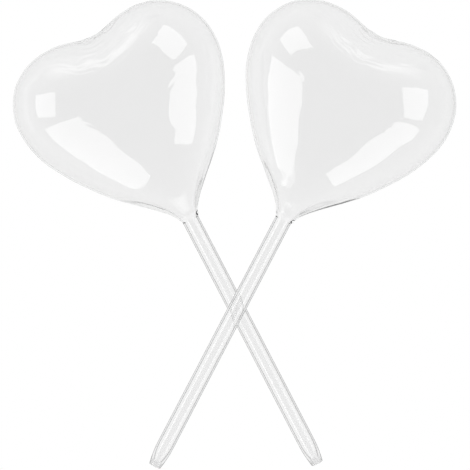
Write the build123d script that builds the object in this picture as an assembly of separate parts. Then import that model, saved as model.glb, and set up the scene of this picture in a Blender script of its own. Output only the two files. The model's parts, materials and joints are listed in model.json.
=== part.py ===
from build123d import *
from math import asin, cos, degrees, pi, radians, sin
import os

# A pair of blown glass watering globes, lying crossed on a flat surface.
# Each globe is a heart-shaped water bulb, a bead where bulb and stem were fused, and a stem tube
# whose lower end is drawn down to a drip mouth. Lengths are in millimetres and angles in degrees.

# Heart bulb, blown in a mould
heart_width = 103.0
heart_height = 98.5  # from the neck to the top of the lobes
heart_thickness = 54.0
heart_drift = 1.3  # how far the lobes sit to one side of the stem's line, as fused by hand
bulb_wall = 0.8
neck_diameter = 10.3
neck_flare = 26.0  # angle between the neck's wall and the stem's axis

# Heart bulb outlines: each point is (share of half the width or thickness, share of the height)
notch_share = 0.9625
front_outline_shares = (
    (0.181, 0.057),
    (0.432, 0.180),
    (0.694, 0.333),
    (0.879, 0.485),
    (0.983, 0.637),
    (0.989, 0.751),
    (0.945, 0.827),
    (0.825, 0.919),
    (0.701, 0.964),
    (0.574, 0.990),
    (0.420, 1.0),
    (0.255, 0.990),
    (0.128, 0.971),
    (0.0, notch_share),
)
side_outline_shares = (
    (0.33, 0.06),
    (0.60, 0.20),
    (0.86, 0.40),
    (1.0, 0.62),
    (0.83, 0.81),
    (0.43, 0.92),
    (0.0, notch_share),
)

# Stem tube, with its drawn drip tip
stem_diameter = 8.0
stem_wall = 0.8
stem_straight = 117.9
tip_length = 11.7
tip_diameter = 5.6
mouth_bore = 3.5
mouth_land = 3.0  # straight part of the bore at the mouth
rim_round = 0.3  # flame-polished edge of the mouth

# Neck bead, where the bulb and the stem were fused
bead_length = 2.8
bead_swell = 0.4  # how far the bead stands out of the line between stem and neck

# How the pair lies
lean = 27.65  # each stem's turn from the middle line, seen from above
rear_crossing = 50.2  # from the neck, along the stem, to the crossing
front_crossing = 49.0
crossing_gap = 0.6  # between the two stems at the crossing

# How finely the heart is lofted
loop_count = 24
points_per_loop = 24
normal_step_share = 0.001
outline_samples = 400
halvings = 50

neck_radius = neck_diameter / 2
neck_bore_radius = neck_radius - bulb_wall / cos(radians(neck_flare))
stem_radius = stem_diameter / 2
stem_bore_radius = stem_radius - stem_wall
tip_radius = tip_diameter / 2
mouth_radius = mouth_bore / 2
neck_to_tube_end = bead_length + stem_straight
neck_to_mouth = neck_to_tube_end + tip_length


def outline(across, shares):
    """Half an outline of the heart, from the neck to the bottom of the notch, in the XZ or YZ plane."""
    half_size = (heart_width if across.X else heart_thickness) / 2
    up = Vector(0, 0, 1)
    points = [across * neck_radius]
    points += [across * (half_size * out) + up * (heart_height * high) for out, high in shares]
    flare = radians(neck_flare)
    return Spline(*points, tangents=[across * sin(flare) + up * cos(flare), -across])


front_outline = outline(Vector(1, 0, 0), front_outline_shares)
side_outline = outline(Vector(0, 1, 0), side_outline_shares)


def skin_point(along, turn):
    """A point of the heart's outer skin.

    along runs from 0 at the neck to 1 at the notch, and turn goes round the axis from the front
    outline. Points at one value of along lie on an oval that bends over the two lobes.
    """
    front = front_outline @ along
    side = side_outline @ along
    height = front.Z * cos(turn) ** 2 + side.Z * sin(turn) ** 2
    drift = heart_drift * sin(pi / 2 * height / heart_height)
    return Vector(front.X * cos(turn) - drift, side.Y * sin(turn), height)


def skin_normal(along, turn):
    """The outward normal of the skin at a point."""
    lower = max(along - normal_step_share, 0)
    upper = min(along + normal_step_share, 1)
    up_skin = skin_point(upper, turn) - skin_point(lower, turn)
    round_skin = skin_point(along, turn + normal_step_share) - skin_point(along, turn - normal_step_share)
    return round_skin.cross(up_skin).normalized()


def even_loop(point_at):
    """A closed loop through the points that point_at gives for evenly spaced turns.

    All loops have their points at the same turns, so a loft through them runs evenly.
    """
    steps = [step / points_per_loop for step in range(points_per_loop + 1)]
    points = [point_at(2 * pi * step) for step in steps[:-1]]
    return Wire([Edge.make_spline(points, periodic=True, parameters=steps)])


def heart_loop(along, inset):
    """A closed loop round the heart, moved inwards by inset at right angles to the skin."""
    return even_loop(lambda turn: skin_point(along, turn) - skin_normal(along, turn) * inset)


def heart_bulb():
    """The heart: two lofts through the same loops, one of them a wall's thickness inside."""
    stations = [(1 - cos(pi * step / loop_count)) / 2 for step in range(loop_count)]
    notch = skin_point(1, 0)
    notch_inside = notch - Vector(0, 0, bulb_wall)
    outer_loops = [heart_loop(along, 0) for along in stations]
    inner_loops = [heart_loop(along, bulb_wall) for along in stations]
    neck_hole = even_loop(lambda turn: Vector(cos(turn), sin(turn), 0) * neck_bore_radius)
    outer = Solid.make_loft(outer_loops + [Vertex(*notch)])
    inner = Solid.make_loft([neck_hole] + inner_loops + [Vertex(*notch_inside)])
    return outer - inner


def turned(*edges):
    """A solid turned about the stem's axis from a closed profile of radii and heights."""
    return revolve(Plane.XZ * make_face(Wire(edges)), Axis.Z)


def neck_bead():
    """The bead of fused glass between the stem and the bulb's neck."""
    middle_radius = (stem_radius + neck_radius) / 2 + bead_swell
    return turned(
        Line((stem_bore_radius, -bead_length), (stem_radius, -bead_length)),
        ThreePointArc((stem_radius, -bead_length), (middle_radius, -bead_length / 2), (neck_radius, 0)),
        Line((neck_radius, 0), (neck_bore_radius, 0)),
        Line((neck_bore_radius, 0), (stem_bore_radius, -bead_length)),
    )


def stem_tube():
    """The stem: a straight tube whose end is drawn down to the drip mouth."""
    tube_top, tube_end, mouth = -bead_length, -neck_to_tube_end, -neck_to_mouth
    land_top = mouth + mouth_land
    return turned(
        Line((stem_bore_radius, tube_top), (stem_radius, tube_top)),
        Line((stem_radius, tube_top), (stem_radius, tube_end)),
        TangentArc((stem_radius, tube_end), (tip_radius, mouth + rim_round), tangent=(0, -1)),
        ThreePointArc(
            (tip_radius, mouth + rim_round),
            (tip_radius - rim_round * (1 - cos(pi / 4)), mouth + rim_round * (1 - sin(pi / 4))),
            (tip_radius - rim_round, mouth),
        ),
        Line((tip_radius - rim_round, mouth), (mouth_radius, mouth)),
        Line((mouth_radius, mouth), (mouth_radius, land_top)),
        TangentArc((stem_bore_radius, tube_end), (mouth_radius, land_top), tangent=(0, -1)),
        Line((stem_bore_radius, tube_end), (stem_bore_radius, tube_top)),
    )


def solve(rising, low, high):
    """The value between low and high where a rising function passes zero."""
    for _ in range(halvings):
        middle = (low + high) / 2
        if rising(middle) > 0:
            high = middle
        else:
            low = middle
    return (low + high) / 2


bulb_underside = [side_outline @ (step / outline_samples) for step in range(outline_samples + 1)]


def neck_height_on_bulb(tilt):
    """Height of the neck's centre when the bulb lies on the surface and the stem slopes down by tilt."""
    return max(point.Y * cos(tilt) - point.Z * sin(tilt) for point in bulb_underside)


def neck_height_on_tip(tilt):
    """Height of the neck's centre when the mouth's rim rests on the surface."""
    along_axis = (neck_to_mouth - rim_round) * sin(tilt)
    return along_axis + (tip_radius - rim_round) * cos(tilt) + rim_round


def stem_height_at_crossing(tilt, crossing_below_neck):
    """Height of the stem's axis at the crossing, for a globe whose bulb lies on the surface."""
    return neck_height_on_bulb(tilt) - crossing_below_neck * sin(tilt)


def axis_direction(turn, tilt):
    """The way a globe's axis points, from its mouth to its heart."""
    turn = radians(turn)
    return Vector(-sin(turn) * cos(tilt), cos(turn) * cos(tilt), sin(tilt))


def stem_clearance(front_tilt):
    """How far the front stem's surface lies above the rear one's, less the gap that it should have."""
    rise = stem_height_at_crossing(front_tilt, front_crossing)
    rise -= stem_height_at_crossing(rear_tilt, rear_crossing)
    across = axis_direction(-lean, front_tilt).cross(axis_direction(lean, rear_tilt)).normalized()
    return rise * abs(across.Z) - stem_diameter - crossing_gap


# The rear globe lies on its bulb and its tip. The front one lies on its bulb and leans on the
# rear stem, so it slopes less.
steepest = asin(heart_thickness / 2 / neck_to_mouth)
rear_tilt = solve(lambda tilt: neck_height_on_tip(tilt) - neck_height_on_bulb(tilt), 0, steepest)
front_tilt = solve(lambda tilt: -stem_clearance(tilt), 0, rear_tilt)


def globe_place(turn, tilt, crossing_below_neck):
    """Where a globe lies: its heart points along +Y, turned by the lean, with its flat side up."""
    to_neck = crossing_below_neck * cos(tilt)
    neck = Vector(-sin(radians(turn)), cos(radians(turn)), 0) * to_neck
    neck += Vector(0, 0, neck_height_on_bulb(tilt))
    return Pos(*neck) * Rot(Z=turn) * Rot(X=degrees(tilt)) * Rot(X=-90)


places = {
    "rear": globe_place(lean, rear_tilt, rear_crossing),
    "front": globe_place(-lean, front_tilt, front_crossing),
}
pieces = {"heart_bulb": heart_bulb(), "neck_bead": neck_bead(), "stem_tube": stem_tube()}
nodes = {
    f"{side}_{name}": place * piece
    for side, place in places.items()
    for name, piece in pieces.items()
}

# The origin is the middle of the pair's bounding box, on the surface that it lies on
box = Compound(list(nodes.values())).bounding_box()
to_origin = Pos(-box.center().X, -box.center().Y, -box.min.Z)
nodes = {name: to_origin * node for name, node in nodes.items()}

os.makedirs("parts", exist_ok=True)
for name, node in nodes.items():
    export_step(node, f"parts/{name}.step")

print("rear tilt", round(degrees(rear_tilt), 2), "front tilt", round(degrees(front_tilt), 2))
print("size", box.size)
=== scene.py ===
import json
from math import atan2, cos, pi, radians, sin, tan

import bmesh
import bpy
import numpy
from mathutils import Matrix, Vector, noise
from mathutils.geometry import interpolate_bezier


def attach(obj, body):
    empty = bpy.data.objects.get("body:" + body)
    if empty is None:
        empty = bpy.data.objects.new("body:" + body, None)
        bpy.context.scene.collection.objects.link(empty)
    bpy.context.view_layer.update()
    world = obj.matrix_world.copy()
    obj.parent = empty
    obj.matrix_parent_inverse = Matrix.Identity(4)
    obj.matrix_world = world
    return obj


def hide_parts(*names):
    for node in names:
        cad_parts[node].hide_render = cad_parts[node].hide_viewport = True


# Two blown glass watering globes, lying crossed on a light table. Everything is in metres.

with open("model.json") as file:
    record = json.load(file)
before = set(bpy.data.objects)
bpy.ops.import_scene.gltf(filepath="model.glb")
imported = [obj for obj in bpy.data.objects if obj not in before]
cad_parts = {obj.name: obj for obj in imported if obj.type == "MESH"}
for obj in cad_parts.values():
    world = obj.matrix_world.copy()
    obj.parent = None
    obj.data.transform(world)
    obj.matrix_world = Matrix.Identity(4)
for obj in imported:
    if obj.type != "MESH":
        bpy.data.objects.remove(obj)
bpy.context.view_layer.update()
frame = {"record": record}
scene = bpy.context.scene
mm = 0.001


def fromHex(code):
    channels = [int(code[i:i + 2], 16) / 255 for i in (1, 3, 5)]
    linear = [c / 12.92 if c <= 0.04045 else ((c + 0.055) / 1.055) ** 2.4 for c in channels]
    return (*linear, 1.0)


def emptyTree(owner):
    owner.use_nodes = True
    owner.node_tree.nodes.clear()
    return owner.node_tree


# settings holds values of the node or of its sockets, links the outputs that feed its sockets
def addNode(tree, kind, settings=None, links=None):
    node = tree.nodes.new(kind)
    for name, value in (settings or {}).items():
        if isinstance(name, int) or name in node.inputs:
            node.inputs[name].default_value = value
        else:
            setattr(node, name, value)
    for name, source in (links or {}).items():
        tree.links.new(source, node.inputs[name])
    return node


def addObject(name, data):
    thing = bpy.data.objects.new(name, data)
    scene.collection.objects.link(thing)
    return thing


def addMesh(name, shape):
    mesh = bpy.data.meshes.new(name)
    shape.to_mesh(mesh)
    shape.free()
    return addObject(name, mesh)


# Camera: almost straight above the pair
view = {
    "target": Vector((0.14 * mm, -0.7 * mm, 23 * mm)),
    "elevation": radians(85),
    "distance": 1.5,
    "fieldWidth": 0.22,  # what the frame takes in at the target
    "sensor": 36,  # in millimetres
    "near": 0.05,
    "far": 20,
}


def addCamera():
    data = bpy.data.cameras.new("camera")
    data.sensor_width = view["sensor"]
    data.lens = view["sensor"] * view["distance"] / view["fieldWidth"]
    data.clip_start, data.clip_end = view["near"], view["far"]
    camera = addObject("camera", data)
    back = Vector((0, -cos(view["elevation"]), sin(view["elevation"])))
    camera.location = view["target"] + back * view["distance"]
    camera.rotation_euler = (-back).to_track_quat("-Z", "Y").to_euler()
    scene.camera = camera


addCamera()
print("camera placed")

# Floor: an opal sheet lit from below. The camera sees it plain white, but into the glass it shines
# mostly straight up, which gives the glass its grey tone and its dark edges
floorSheet = {
    "size": 4.0,
    "drop": 0.1 * mm,  # how far it lies below the globes
    "white": 1.0,  # as the camera sees it
    # how strongly it shines into the glass, at each angle in degrees from its axis
    "shine": ((0, 1.04), (14, 1.04), (30, 0.93), (40, 0.88), (52, 0.74), (70, 0.68), (90, 0.62)),
    "shineAxis": (0.07, -0.06, 0.9957),  # the way it shines most
    "throughBoth": 1.2,  # where the light has come through one stem and then the other
    "oneStem": 4,  # surfaces that light crosses on its way through one stem
}


def addFloor():
    shape = bmesh.new()
    bmesh.ops.create_grid(shape, x_segments=1, y_segments=1, size=floorSheet["size"] / 2)
    bmesh.ops.translate(shape, verts=shape.verts, vec=(0, 0, -floorSheet["drop"]))
    floor = addMesh("floor", shape)
    material = bpy.data.materials.new("opal acrylic sheet, lit from below")
    tree = emptyTree(material)
    axis = addNode(tree, "ShaderNodeCombineXYZ", dict(zip("XYZ", floorSheet["shineAxis"])))
    # at this blend, Facing is one less the cosine of the angle, and its root spreads the ramp evenly
    slant = addNode(tree, "ShaderNodeLayerWeight", {"Blend": 0.5}, {"Normal": axis.outputs[0]})
    evened = addNode(tree, "ShaderNodeMath", {"operation": "SQRT"}, {0: slant.outputs["Facing"]})
    fall = addNode(tree, "ShaderNodeValToRGB", None, {"Fac": evened.outputs[0]})
    stops = fall.color_ramp.elements
    stops.remove(stops[1])
    for i, (angle, shine) in enumerate(floorSheet["shine"]):
        stop = stops.new((1 - cos(radians(angle))) ** 0.5) if i else stops[0]
        stop.color = (shine, shine, shine, 1)
    path = addNode(tree, "ShaderNodeLightPath")
    twice = addNode(tree, "ShaderNodeMath", {"operation": "GREATER_THAN", 1: floorSheet["oneStem"] + 0.5},
                    {0: path.outputs["Transmission Depth"]})
    below = addNode(tree, "ShaderNodeMix", {"data_type": "FLOAT", "B": floorSheet["throughBoth"]},
                    {"Factor": twice.outputs[0], "A": fall.outputs["Color"]})
    strength = addNode(tree, "ShaderNodeMix", {"data_type": "FLOAT", "B": floorSheet["white"]},
                       {"Factor": path.outputs["Is Camera Ray"], "A": below.outputs["Result"]})
    glow = addNode(tree, "ShaderNodeEmission", {"Color": (1, 1, 1, 1)},
                   {"Strength": strength.outputs["Result"]})
    addNode(tree, "ShaderNodeOutputMaterial", None, {"Surface": glow.outputs[0]})
    floor.data.materials.append(material)


addFloor()

# World: a pale room, brighter on the left and dimmer overhead. The camera sees it plain white
room = {
    "white": 1.0,
    "left": 0.95,
    "right": 0.45,
    "zenith": 0.2,
    "zenithFrom": 0.8,  # how high a direction points where the tone overhead is reached
}


def addRoom():
    scene.world = bpy.data.worlds.new("studio")
    tree = emptyTree(scene.world)
    place = addNode(tree, "ShaderNodeTexCoord")
    height = addNode(tree, "ShaderNodeSeparateXYZ", None, {0: place.outputs["Generated"]})
    wall = addNode(tree, "ShaderNodeMapRange",
                   {"From Min": -1.0, "From Max": 1.0, "To Min": room["left"], "To Max": room["right"]},
                   {"Value": height.outputs["X"]})
    glow = addNode(tree, "ShaderNodeMapRange",
                   {"From Min": 0.0, "From Max": room["zenithFrom"], "To Max": room["zenith"]},
                   {"Value": height.outputs["Z"], "To Min": wall.outputs["Result"]})
    path = addNode(tree, "ShaderNodeLightPath")
    strength = addNode(tree, "ShaderNodeMix", {"data_type": "FLOAT", "B": room["white"]},
                       {"Factor": path.outputs["Is Camera Ray"], "A": glow.outputs["Result"]})
    back = addNode(tree, "ShaderNodeBackground", {"Color": (1, 1, 1, 1)},
                   {"Strength": strength.outputs["Result"]})
    addNode(tree, "ShaderNodeOutputWorld", None, {"Surface": back.outputs[0]})


addRoom()
scene.view_settings.view_transform = "Standard"
print("light table and room lit")


# Turned shapes: a profile is a closed ring of radius and height pairs, turned about z
def turnAround(profile, steps):
    shape = bmesh.new()
    rings = []
    for step in range(steps):
        turn = 2 * pi * step / steps
        rings.append([shape.verts.new((radius * cos(turn), radius * sin(turn), height))
                      for radius, height in profile])
    for ring, beside in zip(rings, rings[1:] + rings[:1]):
        for i in range(len(profile)):
            shape.faces.new((ring[i - 1], ring[i], beside[i], beside[i - 1]))
    bmesh.ops.recalc_face_normals(shape, faces=shape.faces)
    return shape


# Down a straight wall, both ends included
def straightDown(radius, top, end, cuts):
    return [(radius, top + (end - top) * i / (cuts + 1)) for i in range(cuts + 2)]


# On from a straight wall, along an arc that turns inwards
def bendInwards(radius, height, bend, angle, steps):
    turns = [angle * i / steps for i in range(1, steps + 1)]
    return [(radius - bend * (1 - cos(turn)), height - bend * sin(turn)) for turn in turns]


# The same, down to a given radius and height
def taperTo(radius, height, endRadius, endHeight, steps):
    narrow, deep = radius - endRadius, height - endHeight
    bend = (deep ** 2 + narrow ** 2) / (2 * narrow)
    return bendInwards(radius, height, bend, atan2(deep, bend - narrow), steps)


# Stem: a tube whose lower end is drawn down to the drip mouth
stem = {
    "radius": 4.0 * mm,
    "bore": 3.2 * mm,  # a radius, as the mouth's is
    "straight": 117.9 * mm,
    "tip": 11.7 * mm,
    "tipRadius": 2.8 * mm,
    "mouthBore": 1.75 * mm,
    "mouthLand": 3.0 * mm,  # straight part of the bore at the mouth
    "rimRound": 0.3 * mm,
    "around": 96,  # faces around
    "cuts": 100,  # along the straight part
    "tipSteps": 24,
    "rimSteps": 8,
    "throatSteps": 20,
}


def makeStem():
    top = -bead["length"]
    end = top - stem["straight"]
    mouth = end - stem["tip"]
    outside = straightDown(stem["radius"], top, end, stem["cuts"])
    outside += taperTo(stem["radius"], end, stem["tipRadius"], mouth + stem["rimRound"], stem["tipSteps"])
    outside += bendInwards(*outside[-1], stem["rimRound"], pi / 2, stem["rimSteps"])
    inside = straightDown(stem["bore"], top, end, stem["cuts"])
    inside += taperTo(stem["bore"], end, stem["mouthBore"], mouth + stem["mouthLand"], stem["throatSteps"])
    inside.append((stem["mouthBore"], mouth))
    return turnAround(outside + inside[::-1], stem["around"])


# Bead: the ring of glass where bulb and stem were fused
bead = {
    "length": 2.8 * mm,
    "neckRadius": 5.15 * mm,
    "neckBore": 4.26 * mm,  # a radius too
    "neckFlare": radians(26),  # angle between the neck's wall and the axis
    "steps": 18,
    "blob": 0.55 * mm,  # how far the last drop of glass stands out, on one side
    "blobFocus": 6,  # how narrow it is
}


def makeBead():
    end = -bead["length"]
    rise, flare = bead["neckRadius"] - stem["radius"], bead["length"] * tan(bead["neckFlare"])
    profile = [(bead["neckBore"], 0), (stem["bore"], end)]
    for step in range(bead["steps"] + 1):
        # a cubic from the stem's straight wall to the neck's flared one
        up = step / bead["steps"]
        radius = stem["radius"] + rise * (3 * up ** 2 - 2 * up ** 3) + flare * (up ** 3 - up ** 2)
        profile.append((radius, end + up * bead["length"]))
    shape = turnAround(profile, stem["around"])
    # the bore has points at its two ends alone, where the drop has run out, so it stays round
    for vertex in shape.verts:
        out, up = vertex.co.xy.length, (vertex.co.z - end) / bead["length"]
        side = max(vertex.co.x / out, 0) ** bead["blobFocus"]
        vertex.co.xy *= 1 + bead["blob"] / out * side * sin(pi * up) ** 2
    return shape


# Heart bulb: two skins, a wall's thickness apart. Each runs up through ovals that bend over the two
# lobes and close at the notch between them
heart = {
    "halfWidth": 51.5 * mm,
    "halfThickness": 27.0 * mm,
    "height": 98.5 * mm,  # from the neck to the top of the lobes
    "drift": 1.3 * mm,  # how far the lobes sit to one side of the stem's line
    "wall": 0.8 * mm,
    "around": 220,  # faces around
    "rings": 200,  # faces from the neck to the notch
    # points from the neck to the notch: shares of the half width or half thickness, and of the height
    "frontLine": ((0.181, 0.057), (0.432, 0.180), (0.694, 0.333), (0.879, 0.485), (0.983, 0.637),
                  (0.989, 0.751), (0.945, 0.827), (0.825, 0.919), (0.701, 0.964), (0.574, 0.990),
                  (0.420, 1.0), (0.255, 0.990), (0.128, 0.971), (0.0, 0.9625)),
    "sideLine": ((0.33, 0.06), (0.60, 0.20), (0.86, 0.40), (1.0, 0.62), (0.83, 0.81), (0.43, 0.92),
                 (0.0, 0.9625)),
    # how firmly each line keeps its way at the neck and at the notch
    "frontPull": (1.05, 1.5),
    "sidePull": (1.15, 1.35),
    "lineSteps": 60,  # between two points of a line
    "slopeStep": 0.002,  # how far to either side slopes are taken: a share of the line, or radians
    "lastShare": 0.9999,  # nearest to the notch where slopes are taken
    "seamGap": 0.001 * mm,  # points closer than this become one
}


# A smooth line through an outline's points: shares of its length, and distances out and up there
def smoothLine(halfSize, shares, pulls):
    spots = [Vector((bead["neckRadius"], 0))]
    spots += [Vector((halfSize * out, heart["height"] * high)) for out, high in shares]
    gaps = [(b - a).length for a, b in zip(spots, spots[1:])]
    count = len(spots)
    rows, sums = numpy.eye(count), numpy.zeros((count, 2))
    sums[0] = Vector((sin(bead["neckFlare"]), cos(bead["neckFlare"]))) * pulls[0]
    sums[-1] = -pulls[1], 0
    for i in range(1, count - 1):
        before, after = gaps[i - 1], gaps[i]
        rows[i, i - 1:i + 2] = after, 2 * (before + after), before
        sums[i] = 3 * (after / before * (spots[i] - spots[i - 1])
                       + before / after * (spots[i + 1] - spots[i]))
    ways = [Vector(way) for way in numpy.linalg.solve(rows, sums)]
    dense = []
    for i, gap in enumerate(gaps):
        handles = spots[i] + ways[i] * gap / 3, spots[i + 1] - ways[i + 1] * gap / 3
        dense += interpolate_bezier(spots[i], *handles, spots[i + 1], heart["lineSteps"])[:-1]
    dense = numpy.array(dense + [spots[-1]])
    run = numpy.concatenate(([0], numpy.cumsum(numpy.hypot(*numpy.diff(dense, axis=0).T))))
    return run / run[-1], dense[:, 0], dense[:, 1]


frontLine = smoothLine(heart["halfWidth"], heart["frontLine"], heart["frontPull"])
sideLine = smoothLine(heart["halfThickness"], heart["sideLine"], heart["sidePull"])


def skinPoints(shares, turns):
    out, frontHigh = (numpy.interp(shares, frontLine[0], line) for line in frontLine[1:])
    deep, sideHigh = (numpy.interp(shares, sideLine[0], line) for line in sideLine[1:])
    high = frontHigh * numpy.cos(turns) ** 2 + sideHigh * numpy.sin(turns) ** 2
    drift = heart["drift"] * numpy.sin(pi / 2 * high / heart["height"])
    return numpy.stack((out * numpy.cos(turns) - drift, deep * numpy.sin(turns), high), axis=1)


# How the blown wall is uneven. Each pair of numbers is where a form sets in or runs out
uneven = {
    "wave": 0.18 * mm,
    "waveLength": 22 * mm,
    "dimple": 0.15 * mm,  # quicker than the waves, so it bends the edges of reflected lights
    "dimpleLength": 9.5 * mm,
    "blownFoot": (2 * mm, 14 * mm),
    "crease": 0.08 * mm,  # beside the valley, where the notch was pressed in
    "creaseLength": 3.2 * mm,
    "creaseSlope": 0.45,  # how steeply creases climb away from the valley
    "creaseRound": 6 * mm,  # how widely they turn in its middle
    "creaseWander": 1.2,
    "creaseHeight": (46 * mm, 68 * mm),
    "creaseSide": (12 * mm, 42 * mm),
    "creasePatch": (-0.4, 0.2),
    "flute": 0.12 * mm,  # streaks drawn along the outside of the neck
    "fluteCount": 9,
    "fluteTurn": 0.7,
    "fluteFoot": (0.5 * mm, 4 * mm),
    "fluteTop": (9 * mm, 26 * mm),
}


def fadeIn(values, low, high):
    part = numpy.clip((values - low) / (high - low), 0, 1)
    return part * part * (3 - 2 * part)


def fadeOut(values, low, high):
    return fadeIn(-values, -high, -low)


def noiseAt(points, size):
    return numpy.array([noise.noise(Vector(point) / size) for point in points])


def unevenness(points):
    x, z = points[:, 0], points[:, 2]
    slow, quick = noiseAt(points, uneven["waveLength"]), noiseAt(points, uneven["dimpleLength"])
    climb = numpy.hypot(x, uneven["creaseRound"]) * uneven["creaseSlope"]
    crease = numpy.sin(2 * pi * ((z - climb) / uneven["creaseLength"] + uneven["creaseWander"] * quick))
    creased = (fadeIn(z, *uneven["creaseHeight"]) * fadeOut(abs(x), *uneven["creaseSide"])
               * fadeIn(slow + quick, *uneven["creasePatch"]))
    blown = slow * uneven["wave"] + quick * uneven["dimple"]
    return blown * fadeIn(z, *uneven["blownFoot"]) + crease * creased * uneven["crease"]


def insetPoints(shares, turns, inset):
    step = heart["slopeStep"]
    shares = numpy.minimum(shares, heart["lastShare"])
    lower, upper = numpy.maximum(shares - step, 0), numpy.minimum(shares + step, 1)
    up = skinPoints(upper, turns) - skinPoints(lower, turns)
    around = skinPoints(shares, turns + step) - skinPoints(shares, turns - step)
    outward = numpy.cross(around, up)
    outward /= numpy.linalg.norm(outward, axis=1)[:, None]
    outside = skinPoints(shares, turns)
    z = outside[:, 2]
    flute = uneven["flute"] * numpy.sin(uneven["fluteCount"] * turns + uneven["fluteTurn"])
    flute *= fadeIn(z, *uneven["fluteFoot"]) * fadeOut(z, *uneven["fluteTop"]) * (inset == 0)
    return outside + outward * (unevenness(outside) + flute - inset)[:, None]


def makeBulb():
    rings, rowCount = heart["rings"], 2 * heart["rings"] + 1
    shape = bmesh.new()
    # one grid for both skins: its rows run from the notch down the outside, and up the inside again
    grid = bmesh.ops.create_grid(shape, x_segments=heart["around"], y_segments=rowCount, size=1)["verts"]
    spots = numpy.array([vertex.co for vertex in grid])
    turns = pi * (spots[:, 0] + 1)
    rows = numpy.rint((spots[:, 1] + 1) / 2 * rowCount)
    inside = rows > rings
    climb = numpy.where(inside, rows - rings - 1, rings - rows) / rings
    # the rings lie closer together near the neck and the notch
    shares = climb / 2 + (1 - numpy.cos(pi * climb)) / 4
    points = insetPoints(shares, turns, numpy.where(inside, heart["wall"], 0))
    neck, notch = climb == 0, climb == 1
    radius, turn = numpy.where(inside, bead["neckBore"], bead["neckRadius"])[neck], turns[neck]
    points[neck] = numpy.stack((radius * numpy.cos(turn), radius * numpy.sin(turn), 0 * turn), axis=1)
    bottom = skinPoints(numpy.ones(1), numpy.zeros(1))
    points[notch] = bottom + (0, 0, unevenness(bottom)[0])
    points[notch & inside, 2] -= heart["wall"]
    for vertex, point in zip(grid, points):
        vertex.co = point
    bmesh.ops.remove_doubles(shape, verts=grid, dist=heart["seamGap"])
    bmesh.ops.recalc_face_normals(shape, faces=shape.faces)
    return shape


# Each globe is made about its own axes: z from the mouth to the heart, x across, neck at zero
sides = {"rear": "rear_globe", "front": "front_globe"}
mounts = {mount["name"]: mount for mount in frame["record"]["mounts"]}


def globePlace(side):
    stemMount = mounts[side + "_stem"]
    up = -Vector(stemMount["axis"])
    tubeTop = Vector(stemMount["pos_m"]) + up * stemMount["dims"]["length_mm"] / 2 * mm
    across = up.cross(Vector((0, 0, 1))).normalized()
    place = Matrix((across, up.cross(across), up)).transposed().to_4x4()
    place.translation = tubeTop + up * bead["length"]
    return place


places = {side: globePlace(side) for side in sides}

# Glass: clear borosilicate, with its own surface for each way of making. Where a wall is seen edge on,
# each glass is tinted towards a painted rim colour: painted shade that draws dark edges, far darker than
# the little extra glass there could make it
refraction = 1.474
glassKinds = {
    # the mould leaves a faint orange peel, which breaks up the edges of reflected windows
    "heart_bulb": {"name": "borosilicate glass, blown in a mould", "color": "#f8f8f8", "rim": "#b4b6b5",
                   "rimBand": (0.78, 0.88), "grain": 2.6 * mm, "stretch": 1, "depth": 0.006 * mm},
    # melted and pulled by hand, so it is lumpy and catches small glints
    "neck_bead": {"name": "borosilicate glass, fused in the flame", "color": "#fbfbfb", "rim": "#e0e1e1",
                  "rimBand": (0.75, 0.95), "grain": 1.4 * mm, "stretch": 1, "depth": 0.012 * mm},
    # drawing leaves long streaks, which show as lines of light along the tube
    "stem_tube": {"name": "borosilicate glass, drawn tube", "color": "#f9f9f9", "rim": "#636665",
                  "rimBand": (0.52, 0.72), "grain": 0.9 * mm, "stretch": 60, "depth": 0.004 * mm},
    # the cut end and the mouth are rubbed smooth, so they are matt and let light out instead of
    # showing dark
    "mouth_end": {"name": "borosilicate glass, rubbed at the mouth", "color": "#fdfdfd", "rim": "#fdfdfd",
                  "rimBand": (0.48, 0.72), "grain": 0.2 * mm, "stretch": 1, "depth": 0.02 * mm,
                  "haze": (0.45, 0.6), "clear": 0.3, "matt": 0.2},
}
# What washing leaves, which softens glints in patches: band is the noise over which it sets in
washHaze = {"patch": 14 * mm, "band": (0.35, 0.75), "haze": (0.0, 0.02)}


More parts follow.
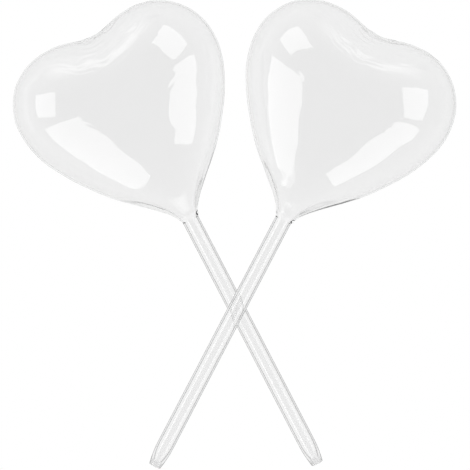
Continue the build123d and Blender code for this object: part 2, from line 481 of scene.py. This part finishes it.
def makeGlass(kind, place):
    recipe = glassKinds[kind]
    material = bpy.data.materials.new(recipe["name"])
    tree = emptyTree(material)
    # painted shade: the glass colour darkens towards the painted rim colour as the surface turns edge on
    slant = addNode(tree, "ShaderNodeLayerWeight", {"Blend": 0.5})
    edge = addNode(tree, "ShaderNodeMapRange",
                   {"interpolation_type": "SMOOTHSTEP", "From Min": recipe["rimBand"][0],
                    "From Max": recipe["rimBand"][1]}, {"Value": slant.outputs["Facing"]})
    tintAndRimShade = addNode(tree, "ShaderNodeMix",
                   {"data_type": "RGBA", 6: fromHex(recipe["color"]), 7: fromHex(recipe["rim"])},
                   {0: edge.outputs["Result"]})
    spot = addNode(tree, "ShaderNodeTexCoord")
    grainSize = Vector((1, 1, recipe["stretch"])) * recipe["grain"]
    along = addNode(tree, "ShaderNodeMapping",
                    {"vector_type": "TEXTURE", "Location": place.translation,
                     "Rotation": place.to_euler(), "Scale": grainSize}, {"Vector": spot.outputs["Object"]})
    peel = addNode(tree, "ShaderNodeTexNoise", {"Scale": 1.0, "Detail": 2.0},
                   {"Vector": along.outputs[0]})
    bump = addNode(tree, "ShaderNodeBump", {"Distance": recipe["depth"]},
                   {"Height": peel.outputs["Fac"]})
    patch = addNode(tree, "ShaderNodeTexNoise", {"Scale": 1 / washHaze["patch"]},
                    {"Vector": spot.outputs["Object"]})
    low, high = recipe.get("haze", washHaze["haze"])
    haze = addNode(tree, "ShaderNodeMapRange",
                   {"From Min": washHaze["band"][0], "From Max": washHaze["band"][1],
                    "To Min": low, "To Max": high}, {"Value": patch.outputs["Fac"]})
    skin = addNode(tree, "ShaderNodeBsdfPrincipled",
                   {"IOR": refraction, "Transmission Weight": recipe.get("clear", 1.0)},
                   {"Base Color": tintAndRimShade.outputs[2], "Roughness": haze.outputs["Result"],
                    "Normal": bump.outputs[0]})
    if "matt" in recipe:
        through = addNode(tree, "ShaderNodeBsdfTransparent")
        skin = addNode(tree, "ShaderNodeMixShader", {0: recipe["matt"]},
                       {1: through.outputs[0], 2: skin.outputs[0]})
    addNode(tree, "ShaderNodeOutputMaterial", None, {"Surface": skin.outputs[0]})
    return material


# Where two pieces of glass are fused there is no surface left to see
def makeFusedJoint():
    material = bpy.data.materials.new("fused joint between two pieces of glass")
    tree = emptyTree(material)
    through = addNode(tree, "ShaderNodeBsdfTransparent")
    addNode(tree, "ShaderNodeOutputMaterial", None, {"Surface": through.outputs[0]})
    return material


glass = {side: {kind: makeGlass(kind, place) for kind in glassKinds} for side, place in places.items()}
fusedJoint = makeFusedJoint()
jointHeights = (0, -bead["length"])  # where two pieces are fused
jointNormal = 0.99  # least share of a joint face's normal along the axis
slack = 0.01 * mm  # how far off its place a face may be


def finishPiece(shape, side, kind):
    shape.normal_update()
    for face in shape.faces:
        face.smooth = True
        middle = face.calc_center_median()
        fromMouth = middle.z + bead["length"] + stem["straight"] + stem["tip"]
        atJoint = min(abs(middle.z - height) for height in jointHeights) < slack
        inMouth = fromMouth < stem["mouthLand"] and middle.xy.length < stem["mouthBore"] + slack
        if atJoint and abs(face.normal.z) > jointNormal:
            face.material_index = 1
            for edge in face.edges:
                edge.smooth = False
        elif inMouth or fromMouth < stem["rimRound"]:
            face.material_index = 2
    bmesh.ops.transform(shape, matrix=places[side], verts=shape.verts)
    name = side + "_" + kind
    piece = addMesh(name + "_skin", shape)
    for material in (glass[side][kind], fusedJoint, glass[side]["mouth_end"]):
        piece.data.materials.append(material)
    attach(piece, sides[side])
    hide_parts(name)
    return piece


# Studio lights: for each globe a window and a long strip at either side of its heart, a soft pale
# wall beyond its valley, a card in front of its neck, and narrow strips along its stem. Each lights
# that globe alone

# What a lamp points at: a height on the axis, the pieces that it lights, and in how many walls of
# the glass, from the nearest, it shows. In the walls behind those it would be too weak to see
lampAims = {
    "heart": {"height": 57 * mm, "lights": ("heart_bulb",), "walls": 1},
    "neck": {"height": 0, "lights": ("heart_bulb", "neck_bead"), "walls": 1},
    "stem": {"height": -60 * mm, "lights": ("stem_tube", "neck_bead"), "walls": 2},
}
windowLight = 1.65

# turn is counted from the way that the heart points: to the left where hand is -1, or to the right
lamps = {
    "left window": {"aim": "heart", "hand": -1, "turn": 63, "elevation": 36, "roll": 0,
                    "size": (0.48, 0.41), "radiance": windowLight},
    "right window": {"aim": "heart", "hand": 1, "turn": 56.5, "elevation": 40, "roll": -9,
                     "size": (0.66, 0.37), "radiance": windowLight},
    "left strip": {"aim": "heart", "hand": -1, "turn": 127, "elevation": 34.5, "roll": 22,
                   "size": (0.99, 0.70), "radiance": windowLight},
    "right strip": {"aim": "heart", "hand": 1, "turn": 121.5, "elevation": 38.5, "roll": 12,
                    "size": (0.88, 0.50), "radiance": windowLight},
    "back wall": {"aim": "heart", "hand": 1, "turn": 0, "elevation": 22, "roll": 0,
                  "size": (0.8, 0.5), "radiance": 1.1, "soft": 0.9},
    "front card": {"aim": "neck", "hand": 1, "turn": 180, "elevation": 14, "roll": 0,
                   "size": (0.6, 0.26), "radiance": 1.1},
    "stem strip": {"aim": "stem", "hand": -1, "turn": 90, "elevation": 41, "roll": 0,
                   "size": (1.4, 0.26), "radiance": 2.0},
    "stem fill": {"aim": "stem", "hand": 1, "turn": 90, "elevation": 33, "roll": 0,
                  "size": (1.4, 0.34), "radiance": 1.2},
}
lampDistance = 1.0


def addLamp(side, name):
    lamp, place = lamps[name], places[side]
    aim, hand = lampAims[lamp["aim"]], lamp["hand"]
    middle = place @ Vector((0, 0, aim["height"]))
    ahead = (place.col[2].xyz * Vector((1, 1, 0))).normalized()
    across = place.col[0].xyz * hand
    turn, rise = radians(lamp["turn"]), radians(lamp["elevation"])
    away = (ahead * cos(turn) + across * sin(turn)) * cos(rise) + Vector((0, 0, sin(rise)))
    data = bpy.data.lights.new(name, "AREA")
    data.shape = "RECTANGLE"
    data.size, data.size_y = lamp["size"]
    data.energy = pi * lamp["radiance"] * data.size * data.size_y
    light = addObject(side + " " + name, data)
    light.matrix_world = (Matrix.Translation(middle + away * lampDistance)
                          @ away.to_track_quat("Z", "Y").to_matrix().to_4x4()
                          @ Matrix.Rotation(radians(lamp["roll"]) * hand, 4, "Z"))
    light.visible_camera = False
    tree = emptyTree(data)
    path = addNode(tree, "ShaderNodeLightPath")
    # what the nth wall reflects has crossed at most 4n - 2 surfaces
    glow = addNode(tree, "ShaderNodeMath", {"operation": "LESS_THAN", 1: 4 * aim["walls"] - 1},
                   {0: path.outputs["Transmission Depth"]})
    if "soft" in lamp:
        spot = addNode(tree, "ShaderNodeNewGeometry")
        spots = addNode(tree, "ShaderNodeSeparateXYZ", None, {0: spot.outputs["Parametric"]})
        for axis in "XY":
            # a share of the lamp's size, from its nearest edge
            off = addNode(tree, "ShaderNodeMath", {"operation": "PINGPONG", 1: 0.5},
                          {0: spots.outputs[axis]})
            edge = addNode(tree, "ShaderNodeMapRange",
                           {"interpolation_type": "SMOOTHSTEP", "From Max": lamp["soft"] / 2},
                           {"Value": off.outputs[0]})
            glow = addNode(tree, "ShaderNodeMath", {"operation": "MULTIPLY"},
                           {0: glow.outputs[0], 1: edge.outputs[0]})
    shine = addNode(tree, "ShaderNodeEmission", None, {"Strength": glow.outputs[0]})
    addNode(tree, "ShaderNodeOutputLight", None, {"Surface": shine.outputs[0]})
    lit = bpy.data.collections.new(light.name)
    for kind in aim["lights"]:
        lit.objects.link(pieces[side][kind])
    light.light_linking.receiver_collection = lit


makers = {"heart_bulb": makeBulb, "neck_bead": makeBead, "stem_tube": makeStem}
pieces = {}
for side in sides:
    pieces[side] = {kind: finishPiece(make(), side, kind) for kind, make in makers.items()}
    print(side, "globe made")

for side in sides:
    for name in lamps:
        addLamp(side, name)
print("studio lights placed")
